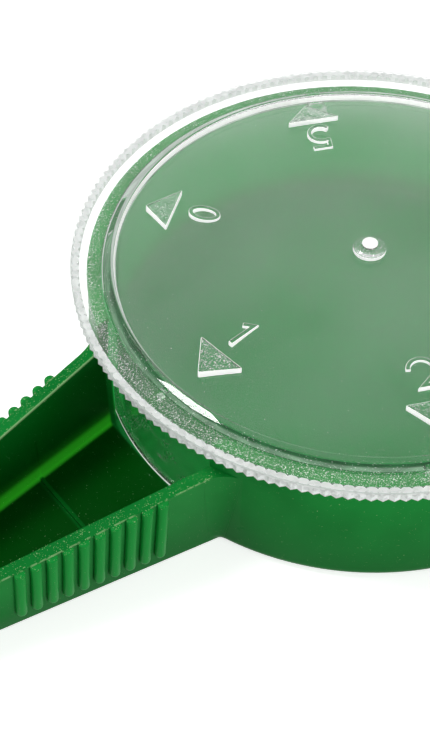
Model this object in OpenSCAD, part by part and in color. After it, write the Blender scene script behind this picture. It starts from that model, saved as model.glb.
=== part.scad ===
// Dial seed sower: a green cup with a long open chute, closed by a clear dial that turns.
// Millimetres, +Z up. The origin is the dial's axis at the underside, the chute runs along -X.
// Two mouldings: the green body (cup, chute, ridge, grip ribs) and the clear dial (the rest).

/* [Cup] */
// Outer radius of the cup at its rim
cup_r = 30.75; // [30.5:0.05:31]
// Outer radius of the cup at its base
cup_base_r = 30.2; // [29.8:0.1:30.5]
// Height of the cup
cup_h = 15.85; // [15.5:0.05:15.9]
// Inner radius of the cup
cup_inner_r = 29.3; // [29.3:0.05:29.4]
// Thickness of the cup's and the chute's floor
floor_t = 1.2; // [0.8:0.1:1.5]
// Radius of the rounded edge round the base
base_round = 1.5; // [0.5:0.1:2]

/* [Chute] */
// Distance from the dial's axis to the tip of the chute
chute_reach = 92; // [85:1:105]
// Inner half width that the chute's walls would have at the dial's axis
chute_half_w = 13.4; // [13:0.1:14]
// Distance from the axis at which the walls stop narrowing
spout_start = 68; // [66:1:70]
// How much each wall closes in per millimetre of length
wall_taper = 0.162; // [0.155:0.001:0.165]
// How much each wall leans outwards per millimetre of height
wall_lean = 0.083; // [0.05:0.001:0.1]
// Thickness of the chute's walls
wall_t = 1.43; // [1.2:0.01:1.6]
// Height that the sloping rim of the chute would have at the dial's axis
rim_h = 16.55; // [16:0.05:17]
// How much the rim of the chute falls per millimetre of length
rim_fall = 0.132; // [0.12:0.001:0.135]
// Radius of the hollow corners between cup and chute
corner_r = 4; // [2:0.5:6]

/* [Ridge and grip ribs] */
// Distance from the axis to the ridge across the chute
ridge_at = 39.3; // [38:0.1:42]
// Width of the ridge
ridge_w = 0.4; // [0.3:0.05:0.8]
// How far the ridge stands proud of floor and walls
ridge_proud = 0.3; // [0.2:0.05:0.5]
// Height to which the ridge climbs the walls
ridge_h = 6.6; // [4:0.1:8]
// Number of grip ribs on each side
rib_count = 10; // [6:1:12]
// Distance from the axis to the first grip rib
rib_first = 35.25; // [34:0.05:38]
// Spacing of the grip ribs
rib_pitch = 1.72; // [1.5:0.01:2]
// Radius of a grip rib
rib_r = 0.62; // [0.5:0.01:0.7]
// How far the ribs' centres lie outside the face of the wall
rib_out = 0.16; // [0:0.01:0.3]
// Height of the ribs' rounded lower ends
rib_foot = 2.05; // [1.5:0.05:3]

/* [Dial] */
// Outside diameter over the knurled rim
dial_d = 65; // [65:0.1:65.2]
// Height of the dial's flat flange above the table
dial_top = 17.6; // [17.5:0.05:17.8]
// Thickness of the flange
flange_t = 1.65; // [1.5:0.05:1.7]
// Radius of the sunken number disc
disc_r = 27.7; // [27.5:0.1:28]
// How far the number disc's edge lies below the flange
disc_sunk = 0.78; // [0.5:0.01:0.8]
// How far the number disc's flat middle stands above the flange
disc_crown = 1.14; // [0.8:0.01:1.3]
// Radius of the number disc's flat middle
crown_r = 16; // [14:0.5:17]
// Thickness of the number disc at its middle
disc_t = 1.1; // [1:0.05:1.2]
// Height of the centre boss
boss_h = 0.8; // [0.5:0.05:1]
// Diameter of the centre boss
boss_d = 3.6; // [3:0.1:4]
// Height of the flat-topped nib on the boss, above the disc's middle
nib_h = 1.05; // [1:0.05:1.3]
// Diameter of the nib
nib_d = 1.6; // [1:0.1:2]
// Direction of the numeral 0 at rest, in degrees from +X
zero_at = 126.4; // [0:0.1:360]

/* [Knurled rim] */
// Number of round beads in the knurl
bead_count = 180; // [120:12:240]
// Radius of one bead
bead_r = 0.66; // [0.6:0.01:0.8]
// Height of the beads
knurl_h = 1.1; // [0.9:0.05:1.2]
// Thickness of the smooth lip of the flange over the beads
lip_t = 0.25; // [0.2:0.05:0.4]

/* [Gate drum] */
// Outer radius of the drum
drum_r = 29; // [28.9:0.05:29]
// Height of the drum's lower edge above the table
drum_bottom = 2; // [1.6:0.1:3]
// Height of the centres of the seed gates
gate_z = 14.4; // [13:0.1:14.4]
// How far each gate trails its numeral round the dial, in degrees
gate_lag = 4.3; // [0:0.1:6]
// Diameters of the seed gates of the numerals 1 to 5
gate_d = [0.9, 1.3, 1.7, 2.2, 2.7]; // [0.5:0.1:2.7]
// Outer radius of the snap bead round the drum's foot
snap_r = 29.22; // [29.15:0.01:29.25]
// Height of the snap bead
snap_h = 0.8; // [0.5:0.1:1.2]

/* [Numerals and pointers] */
// Radius on which the numerals are centred
numeral_r = 18.7; // [18:0.1:19.5]
// Height of a numeral
numeral_h = 4.1; // [3.5:0.1:4.5]
// Width of a numeral
numeral_w = 2.8; // [2.4:0.1:3.2]
// Width of a numeral's stroke
stroke_w = 0.5; // [0.4:0.05:0.6]
// How far the numerals stand above the disc's flat middle
numeral_proud = 0.26; // [0.2:0.02:0.4]
// Radius of the pointers' inner edge
pointer_r = 22.2; // [21.8:0.1:22.5]
// Radius of the pointers' outer corner
pointer_tip_r = 25.6; // [25:0.1:26]
// Half width of a pointer
pointer_half_w = 3.1; // [2.8:0.1:3.4]
// Height of a pointer's top above the flange at its inner edge
pointer_top = 1.2; // [1:0.05:1.4]
// Height of a pointer's top above the flange at its outer corner
pointer_tip_top = 0.66; // [0.5:0.02:0.8]

/* [Hidden] */
$fn = 180;
GREEN = [0.13, 0.5, 0.2];
CLEAR = [0.85, 0.9, 0.87, 0.45];
STEPS = 10;
FAR = 200;
SEAM = 0.01;
taper_angle = atan(wall_taper);
lean_angle = asin(wall_lean / norm([wall_taper, 1, wall_lean]));
rim_angle = atan(rim_fall);
spout_half_w = chute_half_w - wall_taper * spout_start;
nose_r = spout_half_w + wall_t + wall_lean * (rim_h - rim_fall * chute_reach);
outer_half_w = chute_half_w + wall_t + wall_lean * cup_h / 2;
flange_bottom = dial_top - flange_t;
disc_top = dial_top + disc_crown;
groove_z = dial_top - disc_sunk;
knurl_inner_r = dial_d / 2 - 2 * bead_r;
lip_z = dial_top - lip_t;
drum_h = flange_bottom - drum_bottom;
station = 60;

// Points along a circular arc about c from angle a0 to angle a1
function arc(c, r, a0, a1, n = STEPS) =
    [for (i = [0 : n]) let (a = a0 + (a1 - a0) * i / n) c + r * [cos(a), sin(a)]];

// Radius of a round shoulder that starts level at r0, z0 and falls to r1, z1
function shoulder_radius(r0, z0, r1, z1) = (pow(r1 - r0, 2) + pow(z0 - z1, 2)) / (2 * (z0 - z1));

// Points of that shoulder from its level start to its lower edge
function shoulder(r0, z0, r1, z1) =
    let (radius = shoulder_radius(r0, z0, r1, z1), sweep = asin((r1 - r0) / radius))
    arc([r0, z0 - radius], radius, 90, 90 - sweep);

// Left or right edge of a stroke of width w along a line of points
function edge(p, w, side) =
    [for (i = [0 : len(p) - 1])
        let (before = i == 0 ? p[0] - (p[1] - p[0]) : p[i - 1],
             after = i == len(p) - 1 ? p[i] + (p[i] - p[i - 1]) : p[i + 1],
             d0 = (p[i] - before) / norm(p[i] - before),
             d1 = (after - p[i]) / norm(after - p[i]),
             m = (d0 + d1) / norm(d0 + d1),
             half = side * w / 2 / max(0.5, m * d0))
        p[i] + half * [-m[1], m[0]]];

function reversed(p) = [for (i = [len(p) - 1 : -1 : 0]) p[i]];

// Closed outline of an open stroke
function stroke(p, w = stroke_w) = concat(edge(p, w, 1), reversed(edge(p, w, -1)));

// Closed oval outline with half axes a and b
function oval(a, b, n = 40) = [for (i = [0 : n - 1]) [a * cos(i * 360 / n), b * sin(i * 360 / n)]];

// Space on the inner side of a chute wall whose inner face is half_w from the middle
module wall_side(half_w, taper) {
    translate([0, half_w, 0])
        rotate([-lean_angle, 0, taper])
            translate([-FAR, -2 * FAR, -FAR])
                cube(2 * FAR);
}

// Space between both walls, grown outwards by grow, from station s0 to s1 along the chute
module between_walls(half_w, taper, s0, s1) {
    intersection() {
        wall_side(half_w, taper);
        mirror([0, 1, 0])
            wall_side(half_w, taper);
        translate([-s1, -FAR / 2, 0])
            cube([s1 - s0, FAR, FAR]);
    }
}

// The chute's own shape from the cup to the spout, grown outwards by grow
module chute_space(grow, reach) {
    between_walls(chute_half_w + grow, taper_angle, 20, spout_start);
    between_walls(spout_half_w + grow, 0, spout_start - SEAM, reach);
}

// Everything below the chute's sloping rim
module below_rim() {
    translate([0, 0, rim_h])
        rotate([0, -rim_angle, 0])
            translate([-FAR, -FAR / 2, -FAR])
                cube([2 * FAR, FAR, FAR]);
}

// Outline of the cup, filled
module cup_envelope() {
    rotate_extrude()
        polygon(concat([[0, 0]],
                       arc([cup_base_r - base_round, base_round], base_round, -90, 0, 6),
                       [[cup_r, cup_h], [0, cup_h]]));
}

// Hollow corner between the cup and one wall of the chute
module corner_fillet() {
    slant = sqrt(1 + wall_taper * wall_taper);
    reach = cup_r + corner_r;
    lift = outer_half_w + corner_r * slant;
    s = (wall_taper * lift + sqrt(pow(wall_taper * lift, 2)
        - slant * slant * (lift * lift - reach * reach))) / (slant * slant);
    y = lift - wall_taper * s;
    centre = [-s, y];
    on_cup = centre * (cup_r - 0.5) / reach;
    on_wall = centre - (corner_r + 0.5) * [-wall_taper, 1] / slant;
    difference() {
        linear_extrude(height = cup_h)
            polygon([centre, on_cup, [-cup_r + 4, outer_half_w - 8], on_wall]);
        translate([centre[0], centre[1], -1])
            cylinder(h = cup_h + 2, r = corner_r);
    }
}

// Filled outer shape of the chute, ending in a rounded nose
module chute_body() {
    intersection() {
        union() {
            chute_space(wall_t, chute_reach);
            corner_fillet();
            mirror([0, 1, 0])
                corner_fillet();
        }
        below_rim();
        union() {
            translate([nose_r - chute_reach, -FAR / 2, -1])
                cube([FAR, FAR, FAR]);
            translate([nose_r - chute_reach, 0, -1])
                cylinder(h = FAR, r = nose_r);
        }
    }
}

// Inside of the chute, from its floor upwards, open at the tip and into the cup
module chute_hollow() {
    intersection() {
        chute_space(0, chute_reach + 5);
        translate([-FAR, -FAR / 2, floor_t])
            cube([2 * FAR, FAR, FAR]);
    }
}

// Cup that holds the seeds, with its mouth cut open towards the chute
module hopper_cup() {
    color(GREEN)
        difference() {
            cup_envelope();
            translate([0, 0, floor_t])
                cylinder(h = cup_h, r = cup_inner_r);
            chute_hollow();
        }
}

// Open chute that carries the seeds to its narrow tip
module seed_chute() {
    color(GREEN)
        difference() {
            chute_body();
            chute_hollow();
            cup_envelope();
        }
}

// Low ridge across the floor of the chute and up both walls
module trough_ridge() {
    color(GREEN)
        intersection() {
            difference() {
                chute_hollow();
                intersection() {
                    chute_space(-ridge_proud, chute_reach);
                    translate([-FAR, -FAR / 2, floor_t + ridge_proud])
                        cube([2 * FAR, FAR, FAR]);
                }
            }
            translate([-ridge_at - ridge_w / 2, -FAR / 2, 0])
                cube([ridge_w, FAR, ridge_h]);
        }
}

// One upright rib on the +Y wall, leaning with it, before the wall is taken out
module grip_rib(s) {
    y0 = chute_half_w + wall_t + rib_out - wall_taper * s + wall_lean * (rib_foot + rib_r);
    translate([-s, y0, rib_foot + rib_r])
        rotate([-lean_angle, 0, 0]) {
            cylinder(h = cup_h, r = rib_r, $fn = 32);
            sphere(r = rib_r, $fn = 32);
        }
}

// Row of grip ribs outside the +Y wall
module rib_row() {
    color(GREEN)
        intersection() {
            difference() {
                for (i = [0 : rib_count - 1])
                    grip_rib(rib_first + i * rib_pitch);
                chute_space(wall_t, chute_reach);
            }
            below_rim();
        }
}

// Grip ribs on the left, seen along the chute from the cup
module left_grip_ribs() {
    mirror([0, 1, 0])
        rib_row();
}

// Grip ribs on the right
module right_grip_ribs() {
    rib_row();
}

// Points of the number disc's top, from its edge up to the axis
function disc_outline() =
    concat([[0, disc_top]], shoulder(crown_r, disc_top, disc_r, groove_z));

// Round clear plate: a flat flange with a thin lip, round a sunken number disc with a raised middle
module dial_plate() {
    color(CLEAR)
        rotate_extrude()
            polygon(concat(disc_outline(),
                           [[disc_r + 0.1, dial_top], [dial_d / 2, dial_top], [dial_d / 2, lip_z],
                            [knurl_inner_r, lip_z], [knurl_inner_r, flange_bottom]],
                           reversed(shoulder(crown_r, disc_top - disc_t, disc_r, flange_bottom)),
                           [[0, disc_top - disc_t]]));
}

// Everything below the number disc's top surface
module below_disc() {
    rotate_extrude()
        polygon(concat(disc_outline(), [[disc_r, 0], [0, 0]]));
}

// Outward half of one bead of the knurl, as points about the axis
function bead(i) =
    let (a = i * 360 / bead_count,
         centre = (dial_d / 2 - bead_r) * [cos(a), sin(a)],
         open = asin((dial_d / 2 - bead_r) * sin(180 / bead_count) / bead_r))
    [for (j = [-2 : 2]) centre + bead_r * [cos(a + j * open / 2.2), sin(a + j * open / 2.2)]];

// Grip of round upright beads round the flange, under its lip
module knurled_rim() {
    color(CLEAR)
        translate([0, 0, lip_z - knurl_h])
            difference() {
                linear_extrude(height = knurl_h)
                    polygon([for (i = [0 : bead_count - 1]) each bead(i)]);
                translate([0, 0, -1])
                    cylinder(h = knurl_h + 2, r = knurl_inner_r);
            }
}

// Drum under the plate, with one seed gate for each of the numerals 1 to 5
module gate_drum() {
    color(CLEAR)
        difference() {
            translate([0, 0, drum_bottom])
                cylinder(h = drum_h, r = drum_r);
            translate([0, 0, drum_bottom - 1])
                cylinder(h = drum_h + 2, r = disc_r);
            for (i = [1 : 5])
                rotate([0, 0, zero_at + i * station - gate_lag])
                    translate([disc_r - 2, 0, gate_z])
                        rotate([0, 90, 0])
                            cylinder(h = 6, d = gate_d[i - 1], $fn = 48);
        }
}

// Snap bead round the foot of the drum, which keeps the dial seated in the cup
module retaining_ring() {
    color(CLEAR)
        translate([0, 0, drum_bottom])
            difference() {
                cylinder(h = snap_h, r = snap_r);
                translate([0, 0, -1])
                    cylinder(h = snap_h + 2, r = drum_r + 0.04);
            }
}

// Low round boss in the middle of the plate, with a flat-topped nib
module centre_boss() {
    boss_sphere_r = (pow(boss_d / 2, 2) + boss_h * boss_h) / (2 * boss_h);
    color(CLEAR)
        translate([0, 0, disc_top]) {
            intersection() {
                translate([0, 0, boss_h - boss_sphere_r])
                    sphere(r = boss_sphere_r);
                cylinder(h = boss_h + 1, d = boss_d + 1);
            }
            cylinder(h = nib_h, d = nib_d);
        }
}

// Outline of numeral n, upright about its own centre
module numeral(n) {
    h = numeral_h / 2 - stroke_w / 2;
    w = numeral_w / 2 - stroke_w / 2;
    bowl = h * 0.55;
    if (n == 0)
        difference() {
            polygon(oval(numeral_w / 2, numeral_h / 2));
            polygon(oval(numeral_w / 2 - stroke_w, numeral_h / 2 - stroke_w));
        }
    if (n == 1)
        polygon(stroke([[-w - 0.2, h * 0.5], [0, h], [0, -h - stroke_w / 2]]));
    if (n == 2)
        polygon(stroke(concat(arc([0, h - w], w, 175, -35, 14), [[-w, -h], [w + stroke_w / 2, -h]])));
    if (n == 3) {
        polygon(stroke(arc([0, h - bowl + 0.1], bowl - 0.1, 160, -90, 16)));
        polygon(stroke(arc([0, bowl - h], bowl, 90, -160, 16)));
    }
    if (n == 4) {
        polygon(stroke([[w * 0.4, h], [-w, -h * 0.35], [w + stroke_w / 2, -h * 0.35]]));
        polygon(stroke([[w * 0.5, h * 0.3], [w * 0.5, -h - stroke_w / 2]]));
    }
    if (n == 5)
        polygon(stroke(concat([[w + stroke_w / 2, h], [-w * 0.7, h], [-w * 0.85, h * 0.12]],
                              arc([-0.05, -h + bowl], bowl + 0.05, 125, -145, 16))));
}

// Raised numerals 0 to 5, each with its top towards the axis
module dial_numerals() {
    color(CLEAR)
        difference() {
            for (n = [0 : 5])
                rotate([0, 0, zero_at + n * station])
                    translate([numeral_r, 0, disc_top - 1])
                        rotate([0, 0, 90])
                            linear_extrude(height = 1 + numeral_proud)
                                numeral(n);
            below_disc();
        }
}

// One wedge-shaped pointer, its outer corner on the +X side
module pointer() {
    run = pointer_tip_r - pointer_r;
    slope = atan((pointer_top - pointer_tip_top) / run);
    difference() {
        translate([0, 0, dial_top - 1])
            linear_extrude(height = 3)
                polygon([[pointer_r, -pointer_half_w], [pointer_tip_r, 0],
                         [pointer_r, pointer_half_w]]);
        translate([pointer_r, 0, dial_top + pointer_top])
            rotate([0, slope, 0])
                translate([-10, -10, 0])
                    cube(20);
        below_disc();
    }
}

// Six raised pointers, one outside each numeral
module dial_pointers() {
    color(CLEAR)
        for (n = [0 : 5])
            rotate([0, 0, zero_at + n * station])
                pointer();
}

hopper_cup();
seed_chute();
trough_ridge();
left_grip_ribs();
right_grip_ribs();
dial_plate();
knurled_rim();
gate_drum();
retaining_ring();
centre_boss();
dial_numerals();
dial_pointers();
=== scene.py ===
"""Dial seed sower: the green moulding and the clear dial, dressed for a studio photograph.

Pieces are modelled in millimetres in the part's own frame (+Z up, the chute along -X, the dial's axis
at the origin) and brought to metres when they are finished.
"""
import logging
import math
from dataclasses import dataclass
from enum import Enum
from functools import cached_property
from typing import Iterable, Sequence

import bmesh
import bpy
from mathutils import Matrix, Vector


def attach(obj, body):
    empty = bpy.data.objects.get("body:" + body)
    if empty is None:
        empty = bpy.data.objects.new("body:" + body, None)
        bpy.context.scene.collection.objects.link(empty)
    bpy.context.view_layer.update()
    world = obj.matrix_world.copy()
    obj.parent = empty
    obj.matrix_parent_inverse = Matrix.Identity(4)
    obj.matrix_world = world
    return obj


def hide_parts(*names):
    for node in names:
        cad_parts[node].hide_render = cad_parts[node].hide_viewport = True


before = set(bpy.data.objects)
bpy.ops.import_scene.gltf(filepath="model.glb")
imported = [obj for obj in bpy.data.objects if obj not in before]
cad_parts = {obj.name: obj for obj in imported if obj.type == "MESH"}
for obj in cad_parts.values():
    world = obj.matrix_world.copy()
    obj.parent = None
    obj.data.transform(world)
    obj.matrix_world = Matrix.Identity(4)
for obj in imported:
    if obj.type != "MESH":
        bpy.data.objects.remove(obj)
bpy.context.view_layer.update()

LOG = logging.getLogger("seed_sower")
MM = 0.001
WELD = 1e-4
STYRENE_IOR = 1.57
STATIONS = 6


class Join(Enum):
    """How a tool solid meets the work."""

    ADD = "UNION"
    CUT = "DIFFERENCE"


class Zone(Enum):
    """Material slots of the clear dial."""

    CLEAR = 0
    FROSTED = 1
    EDGE = 2
    HAZY = 3
    GRAINED = 4
    SCUFFED = 5
    LINED = 6
    DEEP = 7
    OUTLINE = 8
    TOOTHED = 9


class Seen(Enum):
    """Side of a clear surface from which its frost shows."""

    BOTH = 0
    OUTSIDE = 1
    INSIDE = 2


# --------------------------------------------------------------------------- workshop


def polyline(bm: bmesh.types.BMesh, points: Sequence[Sequence[float]], closed: bool = False) -> dict:
    """Lays a line of vertices.

    Args:
        bm: the mesh that gets the line.
        points: places of the vertices, in millimetres.
        closed: whether the last vertex joins the first.

    Returns:
        The new vertices under "verts" and the new edges under "edges".
    """
    verts = [bm.verts.new(p) for p in points]
    pairs = list(zip(verts, verts[1:])) + ([(verts[-1], verts[0])] if closed else [])
    return {"verts": verts, "edges": [bm.edges.new(pair) for pair in pairs]}


def arc(centre: Sequence[float], radius: float, start: float, end: float, steps: int) -> list[tuple]:
    """Points along a circular arc.

    Args:
        centre: the arc's centre.
        radius: its radius.
        start: angle of the first point in degrees.
        end: angle of the last point in degrees.
        steps: number of steps from first to last point.

    Returns:
        The points, as pairs.
    """
    angles = [math.radians(start + (end - start) * i / steps) for i in range(steps + 1)]
    return [(centre[0] + radius * math.cos(a), centre[1] + radius * math.sin(a)) for a in angles]


def shoulder(inner: tuple, outer: tuple, steps: int) -> list[tuple]:
    """Points of a round shoulder that leaves its inner end level and falls to its outer end.

    Args:
        inner: radius and height of the level end.
        outer: radius and height of the low end.
        steps: number of steps between them.

    Returns:
        The points, as pairs of radius and height.
    """
    run, fall = outer[0] - inner[0], inner[1] - outer[1]
    radius = (run * run + fall * fall) / (2 * fall)
    return arc((inner[0], inner[1] - radius), radius, 90, 90 - math.degrees(math.asin(run / radius)), steps)


def shifted(bm: bmesh.types.BMesh, made: Iterable, way: Sequence[float]) -> None:
    """Moves the vertices among what an operator made.

    Args:
        bm: the mesh that holds them.
        made: the operator's new vertices, edges and faces.
        way: how far they move along x, y and z.
    """
    bmesh.ops.translate(bm, vec=way, verts=[g for g in made if isinstance(g, bmesh.types.BMVert)])


def spun(profile: Sequence[tuple], steps: int) -> bmesh.types.BMesh:
    """Turns a profile about the dial's axis.

    Args:
        profile: pairs of radius and height, from the axis to the axis or round a closed ring.
        steps: number of steps in the full turn.

    Returns:
        The closed solid.
    """
    bm = bmesh.new()
    ring = profile[0][0] > 1e-6
    line = polyline(bm, [(r if ring else max(r, 0), 0, z) for r, z in profile], closed=ring)
    bmesh.ops.spin(bm, geom=line["verts"] + line["edges"], cent=(0, 0, 0), axis=(0, 0, 1),
                   angle=math.tau, steps=steps, use_merge=True, use_duplicate=False)
    bmesh.ops.remove_doubles(bm, verts=bm.verts, dist=WELD)
    bmesh.ops.recalc_face_normals(bm, faces=bm.faces)
    return bm


def extruded(outline: Sequence[Sequence[float]], lift: Sequence[float]) -> bmesh.types.BMesh:
    """Raises a closed outline into a prism.

    Args:
        outline: the outline's corners.
        lift: the way from the outline to the prism's other end.

    Returns:
        The closed solid.
    """
    bm = bmesh.new()
    line = polyline(bm, outline, closed=True)
    base = bmesh.ops.contextual_create(bm, geom=line["edges"])["faces"]
    top = bmesh.ops.extrude_face_region(bm, geom=base)["geom"]
    shifted(bm, top, lift)
    bmesh.ops.recalc_face_normals(bm, faces=bm.faces)
    return bm


def rounded(bm: bmesh.types.BMesh, edges: Iterable[bmesh.types.BMEdge], width: float, segments: int) -> None:
    """Rounds edges.

    Args:
        bm: the mesh that holds the edges.
        edges: the edges to round.
        width: how far the rounding reaches from each edge.
        segments: number of faces across the rounding.
    """
    bmesh.ops.bevel(bm, geom=list(edges), offset=width, offset_type="OFFSET", affect="EDGES",
                    segments=segments, profile=0.5, material=-1, clamp_overlap=True)


def work(bm: bmesh.types.BMesh, name: str, materials: Sequence[bpy.types.Material] = ()) -> bpy.types.Object:
    """Puts a finished bmesh into an object of its own.

    Args:
        bm: the mesh, which is freed.
        name: the object's name.
        materials: finishes that the faces' material indices count through.

    Returns:
        The object, linked to the scene.
    """
    mesh = bpy.data.meshes.new(name)
    bm.to_mesh(mesh)
    bm.free()
    for material in materials:
        mesh.materials.append(material)
    piece = bpy.data.objects.new(name, mesh)
    bpy.context.scene.collection.objects.link(piece)
    return piece


def meet(piece: bpy.types.Object, tool: bpy.types.Object, how: Join) -> None:
    """Adds a tool solid to a piece or cuts it away.

    Args:
        piece: the work, whose mesh changes.
        tool: the other solid, which is used up.
        how: which of the two is done.
    """
    step = piece.modifiers.new("meet", "BOOLEAN")
    step.operation, step.solver, step.object = how.value, "MANIFOLD", tool
    shaped = bpy.data.meshes.new_from_object(piece.evaluated_get(bpy.context.evaluated_depsgraph_get()))
    piece.modifiers.remove(step)
    old, piece.data = piece.data, shaped
    bpy.data.meshes.remove(old)
    bpy.data.objects.remove(tool)


def finished(piece: bpy.types.Object, smooth_below: float, finish: bpy.types.Material = None) -> None:
    """Cleans a piece, brings it to metres and smooths it.

    Args:
        piece: the piece, modelled in millimetres.
        smooth_below: faces that meet at less than this many degrees are shaded as one surface.
        finish: the finish of the whole piece, where its faces don't have their own already.
    """
    bm = bmesh.new()
    bm.from_mesh(piece.data)
    bmesh.ops.remove_doubles(bm, verts=bm.verts, dist=WELD)
    bmesh.ops.dissolve_degenerate(bm, edges=bm.edges, dist=WELD)
    bmesh.ops.scale(bm, vec=(MM, MM, MM), verts=bm.verts)
    for face in bm.faces:
        face.smooth = True
        face.material_index = 0 if finish else face.material_index
    bm.to_mesh(piece.data)
    bm.free()
    piece.data.set_sharp_from_angle(angle=math.radians(smooth_below))
    if finish:
        piece.data.materials.clear()
        piece.data.materials.append(finish)
    LOG.info("%s: %d faces", piece.name, len(piece.data.polygons))


# --------------------------------------------------------------------------- finishes


class Recipe:
    """Node tree of one material, with short calls to add to it."""

    TOTAL = (0.80, 0.98)
    CARRIED = (0.55, 1.45)
    STREAKED = (0.25, 0.75)

    def __init__(self, name: str) -> None:
        """Starts the material with a Principled shader and object coordinates.

        Args:
            name: the material's name.
        """
        self.material = bpy.data.materials.new(name)
        self.material.use_nodes = True
        self.tree = self.material.node_tree
        self.shader = self.tree.nodes["Principled BSDF"]
        self.place = self.node("ShaderNodeTexCoord").outputs["Object"]

    def node(self, kind: str, **settings: object) -> bpy.types.Node:
        """Adds a node; settings name its properties or its input sockets.

        Args:
            kind: the node's Blender type.
            settings: values of its properties or input sockets, each named in lower case with underscores.

        Returns:
            The new node.
        """
        made = self.tree.nodes.new(kind)
        for key, value in settings.items():
            label = key.replace("_", " ").title()
            if label in made.inputs:
                made.inputs[label].default_value = value
            else:
                setattr(made, key, value)
        return made

    def link(self, source: bpy.types.NodeSocket, target: bpy.types.NodeSocket) -> None:
        """Joins two sockets."""
        self.tree.links.new(source, target)

    def set(self, **values: object) -> None:
        """Sets sockets of the shader, each named in lower case with underscores."""
        for key, value in values.items():
            self.shader.inputs[key.replace("_", " ").title().replace("Ior", "IOR")].default_value = value

    def feed(self, **sources: bpy.types.NodeSocket) -> None:
        """Links sources to the shader's sockets, each named in lower case with underscores."""
        for key, source in sources.items():
            self.link(source, self.shader.inputs[key.replace("_", " ").title()])

    def noise(self, scale: float, detail: float = 2.0) -> bpy.types.NodeSocket:
        """Noise on the piece, with scale in cycles per metre.

        Args:
            scale: cycles per metre.
            detail: octaves of finer noise.

        Returns:
            The socket with the noise's height.
        """
        made = self.node("ShaderNodeTexNoise", scale=scale, detail=detail)
        self.link(self.place, made.inputs["Vector"])
        return made.outputs["Fac"]

    def ranged(self, source: bpy.types.NodeSocket, low: float, high: float,
               start: float = 0.0, end: float = 1.0) -> bpy.types.NodeSocket:
        """Maps a value from start..end to low..high.

        Args:
            source: the socket with the value.
            low: result at start.
            high: result at end.
            start: value that gives low.
            end: value that gives high.

        Returns:
            The socket with the result.
        """
        made = self.node("ShaderNodeMapRange")
        for label, value in (("From Min", start), ("From Max", end), ("To Min", low), ("To Max", high)):
            made.inputs[label].default_value = value
        self.link(source, made.inputs["Value"])
        return made.outputs["Result"]

    def sum(self, how: str, *terms: object) -> bpy.types.NodeSocket:
        """Joins terms two by two with one operation of the Math node.

        Args:
            how: the operation's name.
            terms: sockets or numbers.

        Returns:
            The socket with the result.
        """
        total = terms[0]
        for term in terms[1:]:
            made = self.node("ShaderNodeMath", operation=how)
            for socket, value in zip(made.inputs, (total, term)):
                if isinstance(value, (int, float)):
                    socket.default_value = value
                else:
                    self.link(value, socket)
            total = made.outputs[0]
        return total

    def eased(self, source: bpy.types.NodeSocket, start: float, end: float) -> bpy.types.NodeSocket:
        """Maps start..end softly to 0..1.

        Args:
            source: the socket with the value.
            start: value that gives 0.
            end: value that gives 1.

        Returns:
            The socket with the result.
        """
        made = self.node("ShaderNodeMapRange", interpolation_type="SMOOTHSTEP")
        made.inputs["From Min"].default_value, made.inputs["From Max"].default_value = start, end
        self.link(source, made.inputs["Value"])
        return made.outputs["Result"]

    def blend(self, share: bpy.types.NodeSocket, first: object, second: object) -> bpy.types.NodeSocket:
        """Blends two colours, each a socket or a value.

        Args:
            share: how much of the second colour shows.
            first: the colour at share 0.
            second: the colour at share 1.

        Returns:
            The socket with the blended colour.
        """
        made = self.node("ShaderNodeMix", data_type="RGBA")
        self.link(share, made.inputs[0])
        for socket, value in zip((made.inputs[6], made.inputs[7]), (first, second)):
            if isinstance(value, tuple):
                socket.default_value = value
            else:
                self.link(value, socket)
        return made.outputs[2]

    def axes(self) -> tuple[bpy.types.NodeSocket, ...]:
        """Gives the piece's own x, y and z in metres.

        Returns:
            Three sockets.
        """
        made = self.node("ShaderNodeSeparateXYZ")
        self.link(self.place, made.inputs[0])
        return tuple(made.outputs)

    def radius(self) -> bpy.types.NodeSocket:
        """Gives the distance from the dial's axis in metres."""
        x, y, _ = self.axes()
        return self.sum("POWER", self.sum("ADD", self.sum("MULTIPLY", x, x), self.sum("MULTIPLY", y, y)), 0.5)

    def pipe(self, within: bpy.types.NodeSocket, tone: object, streaks: bpy.types.NodeSocket) -> None:
        """Lets a wall's inside glow where it would pass light on by total reflection.

        Args:
            within: 1 where the surface is seen from inside the plastic.
            tone: the colour that the wall carries, a socket or a value.
            streaks: noise that varies its strength.
        """
        edge_on = self.node("ShaderNodeFresnel")
        edge_on.inputs["IOR"].default_value = STYRENE_IOR
        share = self.sum("MULTIPLY", within, self.eased(edge_on.outputs[0], *self.TOTAL))
        glow = self.node("ShaderNodeEmission")
        if isinstance(tone, tuple):
            glow.inputs["Color"].default_value = tone
        else:
            self.link(tone, glow.inputs["Color"])
        self.link(self.ranged(streaks, *self.CARRIED, *self.STREAKED), glow.inputs["Strength"])
        both = self.node("ShaderNodeMixShader")
        self.link(share, both.inputs[0])
        self.link(self.shader.outputs[0], both.inputs[1])
        self.link(glow.outputs[0], both.inputs[2])
        self.link(both.outputs[0], self.tree.nodes["Material Output"].inputs["Surface"])

    def bump(self, height: bpy.types.NodeSocket, depth: float, below: bpy.types.Node = None) -> bpy.types.Node:
        """Adds a relief of the given depth in metres, on top of another relief if there is one.

        Args:
            height: the socket with the height, 0 to 1.
            depth: how deep the relief is, in metres.
            below: a relief that lies under this one.

        Returns:
            The bump node.
        """
        made = self.node("ShaderNodeBump", strength=1.0, distance=depth)
        self.link(height, made.inputs["Height"])
        if below:
            self.link(below.outputs["Normal"], made.inputs["Normal"])
        return made


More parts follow.
